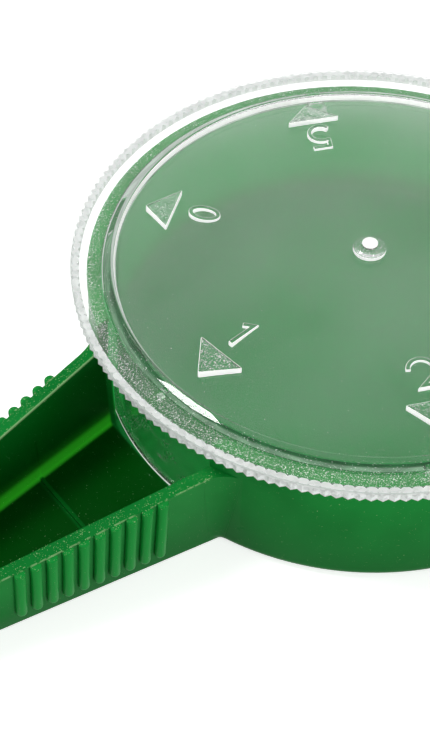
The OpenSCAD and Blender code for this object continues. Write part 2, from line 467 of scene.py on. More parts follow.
@dataclass(frozen=True)
class MouldedGreen:
    """Green injection-moulded plastic, satin, with fine light specks; it carries painted shade, darker inside the
    chute and towards the outer wall's foot, and painted light: a glow along the crease and inside the cup, lighter
    green inside the cup, on the ribs and on the ridge's strip, and highlight lines along the rim edges.
    """

    name: str = "moulded_green"
    light: tuple = (0.008, 0.255, 0.038, 1.0)
    dark: tuple = (0.004, 0.195, 0.027, 1.0)
    # deep: painted shade, the dark green painted inside the chute towards its floor
    deep: tuple = (0.000, 0.068, 0.003, 1.0)
    # glow: painted light, the colour of the glow along the chute's crease
    glow: tuple = (0.012, 0.190, 0.006, 1.0)
    # foot: painted shade, the darker green towards the outer wall's foot
    foot: tuple = (0.003, 0.160, 0.022, 1.0)
    # cup and lit: painted light, the lighter green and the glow inside the cup
    cup: tuple = (0.022, 0.370, 0.080, 1.0)
    lit: tuple = (0.010, 0.200, 0.045, 1.0)
    # colour of the light specks in the skin and of the painted highlight lines along the chute's rims
    speck_and_highlight: tuple = (0.400, 0.640, 0.300, 1.0)
    # ridge: painted light, the lighter green on the ridge's strip across the chute's floor
    ridge: tuple = (0.001, 0.125, 0.012, 1.0)
    # painted light: the lighter green painted on the grip ribs' outer faces
    rib_painted_light: tuple = (0.010, 0.295, 0.044, 1.0)
    rib_from: tuple = (-0.0342, -0.0346)
    chute_from: tuple = (-0.028, -0.030)
    cup_to: tuple = (0.0157, 0.0150)
    # heights above the floor where the painted shade in the chute starts and where it is full
    trough_shade_from: tuple = (0.0130, 0.0095)
    roughness: tuple = (0.24, 0.38)
    specular: float = 0.04
    ior: float = 1.49
    cloud_scale: float = 90.0
    skin_scale: float = 1500.0
    pit_scale: float = 420.0
    skin_depth: float = 0.000005
    foot_height: float = 0.011
    skin_from: float = 0.0296
    wall: tuple = (0.0134, 0.162, 0.083)
    spout_start: float = 0.068
    mouth_at: float = 0.0285
    floor_at: float = 0.0012
    rim: tuple = (0.01655, 0.132)
    wall_t: float = 0.00143
    # wall_glow and floor_glow: how far the painted crease glow reaches up the walls and out over the floor
    wall_glow: float = 0.0034
    floor_glow: float = 0.0005
    ridge_at: float = 0.0394
    speck_scale: float = 8000.0
    speck_over: float = 0.77

    def material(self) -> bpy.types.Material:
        """Builds the material.

        Returns:
            The material.
        """
        mix = Recipe(self.name)
        x, y, z = mix.axes()
        tone = mix.blend(mix.eased(mix.noise(self.cloud_scale, 3.0), 0.35, 0.65), self.dark, self.light)
        # painted shade: away from the cup's inside the green is painted darker towards the foot, below foot_height
        outside = mix.eased(mix.radius(), self.skin_from, self.skin_from + 0.0004)
        low = mix.sum("MULTIPLY", mix.eased(z, self.foot_height, 0.0), outside)
        tone = mix.blend(low, tone, self.foot)
        # painted light: the cup's inner wall and floor are painted a lighter green
        within = mix.sum("MULTIPLY", mix.eased(mix.radius(), self.skin_from, self.skin_from - 0.0003),
                         mix.eased(z, self.floor_at - 0.0004, self.floor_at - 0.0002), mix.eased(z, *self.cup_to))
        tone = mix.blend(within, tone, self.cup)
        inside, above = self.depths(mix, x, y, z)
        station = mix.eased(x, -self.mouth_at, -self.mouth_at - 0.0004)
        hollow = mix.sum("MULTIPLY", mix.eased(inside, -0.00012, 0.00006), station)
        # painted shade: inside the chute the green is painted much darker towards the floor
        tone = mix.blend(mix.sum("MULTIPLY", hollow, mix.eased(above, *self.trough_shade_from)), tone, self.deep)
        # painted light: on the floor the ridge's strip is painted lighter than the painted shade around it
        off_ridge = mix.sum("ABSOLUTE", mix.sum("ADD", x, self.ridge_at), 0.0)
        tone = mix.blend(mix.sum("MULTIPLY", hollow, mix.eased(off_ridge, 0.0005, 0.0002),
                                 mix.eased(above, 0.0012, 0.0004)), tone, self.ridge)
        # painted light: the grip ribs' faces that stand proud of the wall are painted lighter
        proud = mix.sum("MULTIPLY", mix.eased(inside, -self.wall_t - 0.00005, -self.wall_t - 0.0003),
                        mix.eased(x, *self.rib_from))
        tone = mix.blend(proud, tone, self.rib_painted_light)
        # light specks, and painted highlight lines along the chute's rim edges
        tone = mix.blend(self.specks_and_edge_highlights(mix, x, y, z, inside), tone, self.speck_and_highlight)
        mix.feed(base_color=tone)
        # painted light: near the crease the chute's walls and floor glow, standing in for light let through the thin
        # plastic
        crease = mix.sum("MULTIPLY", hollow, mix.eased(inside, self.floor_glow, 0.0), mix.sum(
            "ADD", mix.sum("MULTIPLY", mix.eased(above, self.wall_glow, 0.0), 0.45),
            mix.sum("MULTIPLY", mix.eased(above, 0.0021, 0.0011), 0.65)))
        # painted light: the top of the cup's rim glows at half strength
        on_lip = mix.sum("MULTIPLY", mix.eased(z, 0.0155, 0.0157), mix.eased(mix.radius(), 0.0308, 0.0307), 0.5)
        # painted light: the cup's inside glows, from nothing at the floor to full strength 4 mm up
        in_cup = mix.sum("MULTIPLY", within, mix.eased(z, self.floor_at, self.floor_at + 0.004))
        lit = mix.sum("MAXIMUM", in_cup, on_lip)
        mix.feed(emission_color=mix.blend(lit, self.glow, self.lit))
        mix.feed(emission_strength=mix.sum("ADD", crease, lit))
        mix.feed(roughness=mix.ranged(mix.noise(self.pit_scale, 4.0), *self.roughness))
        skin = mix.bump(mix.noise(self.skin_scale, 3.0), self.skin_depth)
        mix.feed(normal=skin.outputs["Normal"])
        mix.set(ior=self.ior, specular_ior_level=self.specular)
        return mix.material

    def specks_and_edge_highlights(self, mix: Recipe, x: object, y: object, z: object, inside: object) -> bpy.types.NodeSocket:
        """Finds the fine light specks in the skin, denser on the rims, and the painted highlight lines, light and
        broken, along the chute's rim edges.

        Args:
            mix: the material's recipe.
            x: the piece's x.
            y: the piece's y.
            z: the piece's z.
            inside: the distance from the wall's inner face.

        Returns:
            The socket that is 1 on a speck or on a painted highlight line.
        """
        top, fall = self.rim
        below = mix.sum("SUBTRACT", mix.sum("ADD", mix.sum("MULTIPLY", x, fall), top), z)
        # the rims get more specks, which add painted sparkle to the painted highlight
        on_rim = mix.sum("MULTIPLY", mix.eased(below, 0.0004, 0.0002), mix.eased(x, *self.chute_from))
        grain = mix.noise(self.speck_scale, 1.0)
        limit = mix.sum("ADD", mix.sum("MULTIPLY", on_rim, -0.09), self.speck_over)
        specks = mix.eased(mix.sum("SUBTRACT", grain, limit), 0.0, 0.02)
        # painted highlight: light lines along the inner and outer edges of the chute's rims
        inner = mix.sum("MULTIPLY", mix.eased(inside, -0.00022, -0.00014), mix.eased(inside, 0.00004, -0.00002),
                        mix.eased(below, 0.00022, 0.00012), mix.eased(y, -0.001, 0.001), 0.55)
        outer = mix.sum("MULTIPLY", mix.eased(inside, 0.00012 - self.wall_t, 0.00004 - self.wall_t),
                        mix.eased(inside, -0.00016 - self.wall_t, -0.00008 - self.wall_t),
                        mix.eased(below, 0.00022, 0.00012), mix.eased(mix.noise(1400.0, 2.0), 0.45, 0.58), 0.45)
        lines = mix.sum("MULTIPLY", mix.eased(x, *self.chute_from), mix.sum("MAXIMUM", inner, outer))
        return mix.sum("MAXIMUM", specks, lines)

    def depths(self, mix: Recipe, x: object, y: object, z: object) -> tuple:
        """Measures how far a point lies inside the chute.

        Args:
            mix: the material's recipe.
            x: the piece's x.
            y: the piece's y.
            z: the piece's z.

        Returns:
            The distance from the nearest wall's inner face and the height above the floor.
        """
        at_axis, taper, lean = self.wall
        station = mix.sum("MINIMUM", mix.sum("MULTIPLY", x, -1.0), self.spout_start)
        half = mix.sum("ADD", mix.sum("MULTIPLY", station, -taper), mix.sum("MULTIPLY", z, lean), at_axis)
        off_middle = mix.sum("MAXIMUM", y, mix.sum("MULTIPLY", y, -1.0))
        return mix.sum("SUBTRACT", half, off_middle), mix.sum("SUBTRACT", z, self.floor_at)


@dataclass(frozen=True)
class MouldedClear:
    """Clear injection-moulded styrene with flow waves and, towards the rim, fine white specks that glow a little as
    painted glints.
    """

    name: str = "moulded_clear"
    tint: tuple = (0.985, 0.995, 0.988, 1.0)
    haze: tuple = (0.012, 0.03)
    haze_scale: float = 400.0
    wave_scale: float = 60.0
    wave_depth: float = 0.00001
    speck_scale: float = 8200.0
    speck_depth: float = 0.00001
    speck_from: float = 0.0280
    speck_to: float = 0.0311
    speck_share: tuple = (0.72, 0.60)
    speck_clear: float = 0.15
    # speck_lit: strength of the painted glint glow on the specks
    speck_lit: float = 0.45

    def material(self) -> bpy.types.Material:
        """Builds the material.

        Returns:
            The material.
        """
        mix = Recipe(self.name)
        mix.set(base_color=self.tint, transmission_weight=1.0, ior=STYRENE_IOR)
        mix.feed(roughness=mix.ranged(mix.noise(self.haze_scale), *self.haze))
        waves = mix.bump(mix.noise(self.wave_scale, 1.0), self.wave_depth)
        limit = mix.sum("ADD", mix.ranged(mix.radius(), *self.speck_share, self.speck_from, self.speck_to),
                        mix.eased(mix.radius(), self.speck_to, self.speck_to + 0.0002))
        over = mix.eased(mix.sum("SUBTRACT", mix.noise(self.speck_scale, 2.0), limit), 0.0, 0.03)
        mix.feed(transmission_weight=mix.ranged(over, 1.0, self.speck_clear))
        # painted glints: the specks glow a little
        mix.set(emission_color=self.tint)
        mix.feed(emission_strength=mix.ranged(over, 0.0, self.speck_lit))
        skin = mix.bump(over, self.speck_depth, waves)
        mix.feed(normal=skin.outputs["Normal"])
        return mix.material


@dataclass(frozen=True)
class HazyClear:
    """The same styrene on the number disc's underside, where the mould is matt and blurs what is below."""

    name: str = "hazy_clear"
    tint: tuple = (0.96, 0.99, 0.98, 1.0)
    roughness: tuple = (0.18, 0.25)
    cloud_scale: float = 70.0
    share: tuple = (0.86, 0.95)

    def material(self) -> bpy.types.Material:
        """Builds the material.

        Returns:
            The material.
        """
        mix = Recipe(self.name)
        mix.set(base_color=self.tint, ior=STYRENE_IOR)
        clouds = mix.noise(self.cloud_scale, 4.0)
        mix.feed(roughness=mix.ranged(clouds, *self.roughness))
        mix.feed(transmission_weight=mix.ranged(clouds, *self.share, 0.35, 0.65))
        return mix.material


@dataclass(frozen=True)
class ScuffedClear:
    """The same styrene on the drum, where turning in the cup has rubbed soft bands and streaks; its green tint is
    painted, standing in for the green cup seen through the wall, and inside it glows as painted light where total
    reflection would carry light.
    """

    name: str = "scuffed_clear"
    # tint and scuff: painted green, standing in for the green cup seen through the clear wall
    tint: tuple = (0.52, 0.82, 0.54, 1.0)
    scuff: tuple = (0.60, 0.82, 0.63, 1.0)
    roughness: tuple = (0.04, 0.30)
    share: tuple = (1.0, 0.45)
    streak_scale: float = 260.0
    streak_height: float = 0.35
    speck_scale: float = 6000.0
    patch_scale: float = 170.0
    rub_from: float = 0.58
    rub_to: float = 0.76
    # piped: colour of the painted glow inside the wall
    piped: tuple = (0.42, 0.50, 0.44, 1.0)

    def material(self) -> bpy.types.Material:
        """Builds the material.

        Returns:
            The material.
        """
        mix = Recipe(self.name)
        mix.set(base_color=self.tint, ior=STYRENE_IOR)
        turn = mix.node("ShaderNodeMapping")
        turn.inputs["Scale"].default_value = (1, 1, 1 / self.streak_height)
        mix.link(mix.place, turn.inputs["Vector"])
        streaks = mix.node("ShaderNodeTexNoise", scale=self.streak_scale, detail=5.0)
        mix.link(turn.outputs[0], streaks.inputs["Vector"])
        within = mix.node("ShaderNodeNewGeometry").outputs["Backfacing"]
        specks = mix.sum("MULTIPLY", mix.eased(mix.noise(self.speck_scale, 2.0), 0.58, 0.62),
                         mix.eased(mix.noise(self.patch_scale, 2.0), 0.48, 0.60))
        rubbed = mix.sum("MAXIMUM", specks, mix.eased(streaks.outputs["Fac"], self.rub_from, self.rub_to))
        rubbed = mix.sum("MULTIPLY", rubbed, mix.ranged(within, 1.0, 0.0))
        # from outside the drum shows its painted green tint, lighter where rubbed; from inside it is white
        skin = mix.blend(within, mix.blend(rubbed, self.tint, self.scuff), (1.0, 1.0, 1.0, 1.0))
        mix.feed(base_color=skin)
        mix.feed(roughness=mix.ranged(rubbed, *self.roughness))
        mix.feed(transmission_weight=mix.ranged(rubbed, *self.share))
        # painted light: where total reflection would carry light along the wall, its inside glows grey
        mix.pipe(within, self.piped, streaks.outputs["Fac"])
        return mix.material


@dataclass(frozen=True)
class DeepClear:
    """The same styrene on the drum's inner face, which glows as painted light: the cup's deep green piped up through
    the wall, and lower down a painted grey reflection veil.
    """

    name: str = "deep_clear"
    tint: tuple = (0.985, 0.995, 0.988, 1.0)
    # piped: painted light, the deep green glow inside the drum wall
    piped: tuple = (0.005, 0.095, 0.022, 1.0)
    # painted reflection: the grey-green veil that the glow carries lower on the wall
    reflection_veil: tuple = (0.170, 0.320, 0.195, 1.0)
    veil_from: tuple = (0.0154, 0.0134)
    veil_scale: float = 160.0
    veil_share: tuple = (0.5, 1.0)
    haze: tuple = (0.01, 0.05)
    streak_scale: float = 500.0

    def material(self) -> bpy.types.Material:
        """Builds the material.

        Returns:
            The material.
        """
        mix = Recipe(self.name)
        mix.set(base_color=self.tint, transmission_weight=1.0, ior=STYRENE_IOR)
        streaks = mix.noise(self.streak_scale, 3.0)
        mix.feed(roughness=mix.ranged(streaks, *self.haze))
        # painted light: the glow is deep green near the top and blends, in patches, to the painted reflection veil
        # lower down
        deeper = mix.sum("MULTIPLY", mix.eased(mix.axes()[2], *self.veil_from),
                         mix.ranged(mix.noise(self.veil_scale, 3.0), *self.veil_share, 0.35, 0.60))
        tone = mix.blend(deeper, self.piped, self.reflection_veil)
        mix.pipe(mix.node("ShaderNodeNewGeometry").outputs["Backfacing"], tone, streaks)
        return mix.material


@dataclass(frozen=True)
class FrostedClear:
    """The same styrene where the mould is sparked: a grainy frost, whiter where share is lower, that glows with the
    strength lit as painted light.
    """

    name: str = "frosted_clear"
    tint: tuple = (0.93, 0.95, 0.94, 1.0)
    roughness: tuple = (0.30, 0.60)
    grain_scale: float = 2600.0
    grain_depth: float = 0.00004
    mottle_scale: float = 1700.0
    mottle: float = 1.0
    share: float = 0.15
    # lit: strength of the painted glow in the frost
    lit: float = 0.21
    seen: Seen = Seen.BOTH

    def material(self) -> bpy.types.Material:
        """Builds the material.

        Returns:
            The material.
        """
        mix = Recipe(self.name)
        mix.set(base_color=self.tint, transmission_weight=self.share, ior=STYRENE_IOR)
        # painted light: the frost glows with the strength lit
        mix.set(emission_color=self.tint, emission_strength=self.lit)
        if self.mottle < 1.0:
            shade = tuple(value * self.mottle for value in self.tint[:3]) + (1.0,)
            mottled = mix.blend(mix.eased(mix.noise(self.mottle_scale, 2.0), 0.42, 0.56), shade, self.tint)
            mix.feed(base_color=mottled, emission_color=mottled)
        grain = mix.noise(self.grain_scale, 2.0)
        mix.feed(roughness=mix.ranged(grain, *self.roughness))
        mix.feed(normal=mix.bump(grain, self.grain_depth).outputs["Normal"])
        if self.seen is not Seen.BOTH:
            hidden = self.hidden(mix)
            mix.feed(transmission_weight=mix.ranged(hidden, self.share, 1.0),
                     emission_strength=mix.ranged(hidden, self.lit, 0.0))
            mix.feed(roughness=mix.sum("MULTIPLY", mix.ranged(grain, *self.roughness), mix.ranged(hidden, 1.0, 0.05)))
        return mix.material

    def hidden(self, mix: Recipe) -> bpy.types.NodeSocket:
        """Gives 1 where the frost doesn't show."""
        back = mix.node("ShaderNodeNewGeometry").outputs["Backfacing"]
        return back if self.seen is Seen.OUTSIDE else mix.ranged(back, 1.0, 0.0)


# --------------------------------------------------------------------------- green moulding


@dataclass
class SowerBody:
    """The green moulding: cup, open chute, ridge and grip ribs. Sizes are in millimetres."""

    cup_r: float = 30.75
    cup_base_r: float = 30.2
    cup_h: float = 15.85
    cup_inner_r: float = 29.3
    floor_t: float = 1.2
    base_round: float = 1.5
    cup_floor_round: float = 0.9
    rim_round: float = 0.22
    reach: float = 92.0
    chute_from: float = 24.0
    hollow_from: float = 15.0
    half_w: float = 13.4
    spout_start: float = 68.0
    taper: float = 0.162
    lean: float = 0.083
    wall_t: float = 1.43
    rim_h: float = 16.55
    rim_fall: float = 0.132
    corner_r: float = 4.6
    corner_low_r: float = 0.9
    foot_round: float = 0.35
    crease_round: float = 0.45
    ridge_at: float = 39.3
    ridge_w: float = 0.4
    ridge_proud: float = 0.3
    ridge_h: float = 6.6
    rib_count: int = 10
    rib_first: float = 35.25
    rib_pitch: float = 1.72
    rib_r: float = 0.62
    rib_out: float = 0.16
    rib_soft: float = 0.16
    rib_foot: float = 2.05
    corner_levels: tuple = (0.6, 0.9, 1.2, 1.5, 3.0, 6.0, 9.0, 14.0)
    corner_sunk: float = 0.7
    core_over: float = 0.3
    turn_steps: int = 288
    smooth_below: float = 32.0

    def rim(self, s: float) -> float:
        """Height of the chute's rim at station s."""
        return self.rim_h - self.rim_fall * s

    def half(self, s: float, z: float) -> float:
        """Inner half width of the chute at station s and height z."""
        return self.half_w - self.taper * min(s, self.spout_start) + self.lean * z

    def trough(self, grow: float, start: float, end: float, bottom: float, top: float) -> bmesh.types.BMesh:
        """Solid between the chute's walls.

        Args:
            grow: how far it reaches beyond the inner faces of the walls.
            start: first station.
            end: last station.
            bottom: height of its underside.
            top: how far its upper side lies above the chute's rim.

        Returns:
            The closed solid, with two stations' corners at each kink.
        """
        stations = (start, self.spout_start, end)
        plan = [(-s, 1) for s in stations] + [(-s, -1) for s in reversed(stations)]
        bm = extruded([(x, side * (self.half(-x, bottom) + grow), bottom) for x, side in plan], (0, 0, 1))
        for vert in bm.verts:
            if vert.co.z > bottom + 0.5:
                s, side = -vert.co.x, math.copysign(1, vert.co.y)
                vert.co.z = self.rim(s) + top
                vert.co.y = side * (self.half(s, vert.co.z) + grow)
        return bm

    def cup(self) -> bpy.types.Object:
        """Spins the cup, with its rounded rim, base and floor.

        Returns:
            The cup's solid.
        """
        edge, inner, floor = self.rim_round, self.cup_inner_r, self.floor_t
        profile = [(0, 0)]
        profile += arc((self.cup_base_r - self.base_round, self.base_round), self.base_round, -90, 0, 8)
        profile += arc((self.cup_r - edge, self.cup_h - edge), edge, 0, 90, 4)
        profile += arc((inner + edge, self.cup_h - edge), edge, 90, 180, 4)
        soft = self.cup_floor_round
        profile += arc((inner - soft, floor + soft), soft, 0, -90, 6)
        profile += [(20.0, floor), (0, floor)]
        return work(spun(profile, self.turn_steps), "sower_moulding")

    def chute(self) -> bpy.types.Object:
        """Builds the open chute, with a rounded tip, rounded foot and rounded rims.

        Returns:
            The chute's solid.
        """
        bm = self.trough(self.wall_t, self.chute_from, self.reach, 0.0, 0.0)
        tip = [e for e in bm.edges if self.is_upright(e) and -e.verts[0].co.x > self.reach - 1]
        rounded(bm, tip, self.half(self.reach, 0) + self.wall_t - 0.1, 8)
        foot = [e for e in bm.edges if max(v.co.z for v in e.verts) < 0.01 and -e.verts[0].co.x > 25]
        rounded(bm, foot, self.foot_round, 4)
        chute = work(bm, "chute")
        hollow = self.trough(0.0, self.hollow_from, self.reach + 5, self.floor_t, 1.0)
        crease = [e for e in hollow.edges if max(v.co.z for v in e.verts) < self.floor_t + 0.01
                  and abs(e.verts[0].co.x - e.verts[1].co.x) > 1]
        rounded(hollow, crease, self.crease_round, 4)
        meet(chute, work(hollow, "chute_hollow"), Join.CUT)
        bm = bmesh.new()
        bm.from_mesh(chute.data)
        on_rim = [e for e in bm.edges if e.is_manifold and all(
            abs(v.co.z - self.rim(-v.co.x)) < 0.01 for v in e.verts) and e.calc_face_angle(0) > 0.5]
        rounded(bm, on_rim, self.rim_round, 3)
        bm.to_mesh(chute.data)
        bm.free()
        return chute

    def is_upright(self, edge: bmesh.types.BMEdge) -> bool:
        """Whether an edge runs up a wall."""
        return abs(edge.verts[0].co.z - edge.verts[1].co.z) > 1

    def corner_loop(self, side: int, z: float, inset: float = 0.0) -> list[tuple]:
        """Outline of the hollow corner between cup and chute wall at one height.

        Args:
            side: 1 for the +Y wall, -1 for the -Y wall.
            z: the height.
            inset: how far the outline lies inside cup and wall.

        Returns:
            The outline's points.
        """
        share = z / self.cup_h
        hollow_r = self.corner_low_r + (self.corner_r - self.corner_low_r) * share ** 0.7 + inset
        under = max(self.base_round - z, 0)
        tucked = self.base_round - math.sqrt(self.base_round ** 2 - under ** 2)
        round_r = self.cup_base_r + (self.cup_r - self.cup_base_r) * share - tucked - inset
        slant = math.hypot(1, self.taper)
        lift = self.half_w + (self.wall_t - inset + hollow_r) * slant + self.lean * z
        reach = round_r + hollow_r
        s = self.taper * lift + math.sqrt((self.taper * lift) ** 2 - slant ** 2 * (lift ** 2 - reach ** 2))
        centre = Vector((-s / slant ** 2, side * (lift - self.taper * s / slant ** 2)))
        to_cup, to_wall = -centre.normalized(), Vector((self.taper, -side)).normalized()
        start, end = math.degrees(math.atan2(*to_cup.yx)), math.degrees(math.atan2(*to_wall.yx))
        turn = (end - start + 180) % 360 - 180
        hollow = arc(centre, hollow_r, start, start + turn, 12)
        deep, wall = Vector(hollow[0]) + to_cup * self.corner_sunk, Vector(hollow[-1]) + to_wall * self.corner_sunk
        inside = (-self.cup_r + 3.5, side * (self.half(27, 6) + 0.3))
        return [(x, y, z) for x, y in [tuple(deep)] + hollow + [tuple(wall), inside]]

    def corner(self, side: int) -> bpy.types.Object:
        """Builds the hollow corner between the cup and one wall, tighter towards the foot.

        Args:
            side: 1 for the +Y wall, -1 for the -Y wall.

        Returns:
            The corner's solid.
        """
        bm = bmesh.new()
        soft = self.foot_round
        levels = [(0.0, soft), (soft * 0.3, soft * 0.3), (soft, 0.0)]
        levels += [(z, 0.0) for z in self.corner_levels]
        loops = [polyline(bm, self.corner_loop(side, z, inset), closed=True)["edges"] for z, inset in levels]
        for low, high in zip(loops, loops[1:]):
            bmesh.ops.bridge_loops(bm, edges=low + high)
        for end in (loops[0], loops[-1]):
            bmesh.ops.contextual_create(bm, geom=end)
        bmesh.ops.recalc_face_normals(bm, faces=bm.faces)
        self.cut_at_rim(bm)
        return work(bm, "corner")

    def cut_at_rim(self, bm: bmesh.types.BMesh) -> list[bmesh.types.BMEdge]:
        """Cuts solids off level with the chute's sloping rim and closes them.

        Args:
            bm: the mesh with the solids.

        Returns:
            The edges round the cuts.
        """
        slope = Vector((-self.rim_fall, 0, 1)).normalized()
        cut = bmesh.ops.bisect_plane(bm, geom=bm.verts[:] + bm.edges[:] + bm.faces[:], dist=1e-5,
                                     plane_co=(0, 0, self.rim_h), plane_no=slope, clear_outer=True)
        rims = [g for g in cut["geom_cut"] if isinstance(g, bmesh.types.BMEdge)]
        bmesh.ops.holes_fill(bm, edges=rims, sides=0)
        bmesh.ops.recalc_face_normals(bm, faces=bm.faces)
        return rims

    def grip_ribs(self) -> bpy.types.Object:
        """Builds the rows of leaning grip ribs outside both walls.

        Returns:
            The ribs, as one object.
        """
        bm = bmesh.new()
        tilt = math.atan(self.lean)
        for side in (1, -1):
            for i in range(self.rib_count):
                s = self.rib_first + i * self.rib_pitch
                foot = self.rib_foot + self.rib_r
                made = bmesh.ops.create_uvsphere(bm, u_segments=16, v_segments=10, radius=self.rib_r)["verts"]
                bmesh.ops.translate(bm, vec=(0, 0, self.cup_h), verts=[v for v in made if v.co.z > 0.01])
                bmesh.ops.rotate(bm, cent=(0, 0, 0), matrix=Matrix.Rotation(-side * tilt, 3, "X"), verts=made)
                out = self.half(s, foot) + self.wall_t + self.rib_out
                bmesh.ops.translate(bm, vec=(-s, side * out, foot), verts=made)
        rims = self.cut_at_rim(bm)
        rounded(bm, [e for e in rims if e.is_valid], self.rib_soft, 3)
        return work(bm, "ribs")

    def ridge(self) -> bpy.types.Object:
        """Builds the low ridge across the chute's floor and up both walls.

        Returns:
            The ridge's solid.
        """
        low = self.floor_t
        wide, high = self.half(self.ridge_at, low), self.half(self.ridge_at, self.ridge_h)
        x = -self.ridge_at - self.ridge_w / 2
        bm = bmesh.new()
        path = [(x, -high, self.ridge_h), (x, -wide, low), (x, wide, low), (x, high, self.ridge_h)]
        strip = bmesh.ops.extrude_edge_only(bm, edges=polyline(bm, path)["edges"])["geom"]
        shifted(bm, strip, (self.ridge_w, 0, 0))
        bmesh.ops.solidify(bm, geom=bm.faces[:], thickness=2 * self.ridge_proud)
        shift = self.centred_shift(bm)
        bmesh.ops.translate(bm, vec=(0, 0, shift), verts=bm.verts)
        bmesh.ops.recalc_face_normals(bm, faces=bm.faces)
        return work(bm, "ridge")

    def centred_shift(self, bm: bmesh.types.BMesh) -> float:
        """How far the ridge must rise or sink so that it stands proud of the floor by ridge_proud.

        Args:
            bm: the ridge's mesh.

        Returns:
            The way up, negative where it must sink.
        """
        flat = max(v.co.z for v in bm.verts if abs(v.co.y) < self.half(self.ridge_at, self.floor_t) + 0.05
                   and v.co.z < self.floor_t + 1)
        return self.floor_t + self.ridge_proud - flat

    def build(self) -> bpy.types.Object:
        """Joins the moulding's forms into one piece and dresses it.

        Returns:
            The finished piece.
        """
        body = self.cup()
        mouth = work(self.trough(0.0, self.hollow_from, self.spout_start + 10, self.floor_t, 8.0), "mouth")
        meet(body, mouth, Join.CUT)
        chute = self.chute()
        for side in (1, -1):
            meet(chute, self.corner(side), Join.ADD)
        meet(chute, self.grip_ribs(), Join.ADD)
        core_r = self.cup_inner_r + self.core_over
        core = work(spun([(0, -1), (core_r, -1), (core_r, 30), (0, 30)], self.turn_steps), "core")
        meet(chute, core, Join.CUT)
        meet(body, chute, Join.ADD)
        meet(body, self.ridge(), Join.ADD)
        finished(body, self.smooth_below, MouldedGreen().material())
        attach(body, "sower_body")
        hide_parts("hopper_cup", "seed_chute", "trough_ridge", "left_grip_ribs", "right_grip_ribs")
        return body


# --------------------------------------------------------------------------- clear dial


